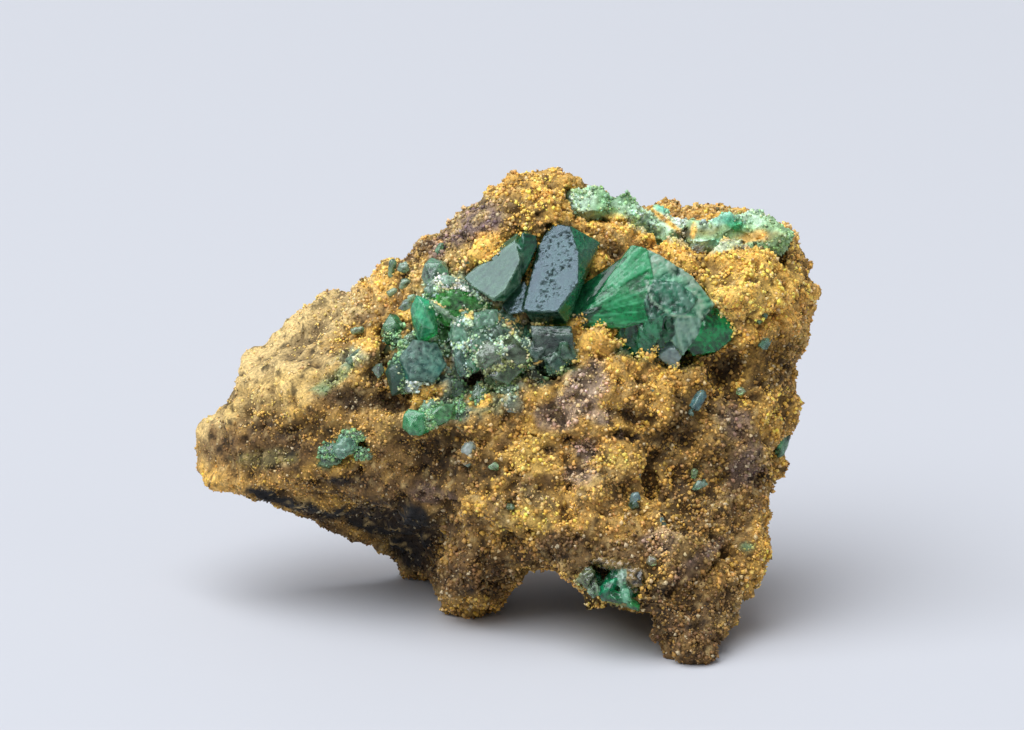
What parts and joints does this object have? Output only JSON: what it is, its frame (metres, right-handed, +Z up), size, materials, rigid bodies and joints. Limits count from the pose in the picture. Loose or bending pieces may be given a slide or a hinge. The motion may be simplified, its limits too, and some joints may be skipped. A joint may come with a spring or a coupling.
{
  "type": "zincolivenite mineral specimen",
  "caption": "Green zincolivenite crystals and pale green crust on a lumpy orange-brown limonite rock that stands free on its own flat feet.",
  "frame": {"origin": "middle of the bounding box's base, on the surface that the specimen stands on", "axes": "+Z up, +X along the rock's longest side with the crystals' face seen from -Y, +Y to the back"},
  "size_m": [0.0358, 0.023, 0.0253],
  "materials": {
    "limonite": "rough, sugary ochre druse with cream, grey-pink and black patches",
    "olivenite_dark": "glassy dark green, translucent, finely etched faces",
    "olivenite_fan": "silky to glassy emerald green with fibrous streaks, translucent",
    "olivenite_green": "glassy rounded green crystals, translucent",
    "olivenite_teal": "glassy blue-green with a frosted skin",
    "pale_crust": "matt pale mint-green crust"
  },
  "bodies": {
    "root": {"matrix": "limonite", "main_crystal": "olivenite_dark", "left_prism_crystal": "olivenite_dark", "dark_block_crystal": "olivenite_dark", "fan_crystal": "olivenite_fan", "green_cluster": "olivenite_green", "teal_crystal": "olivenite_teal", "lower_left_crystal": "olivenite_green", "left_edge_crystal": "olivenite_green", "green_patch": "olivenite_green", "vein_crust": "pale_crust", "cavity_crust": "olivenite_dark"}
  },
  "joints": []
}
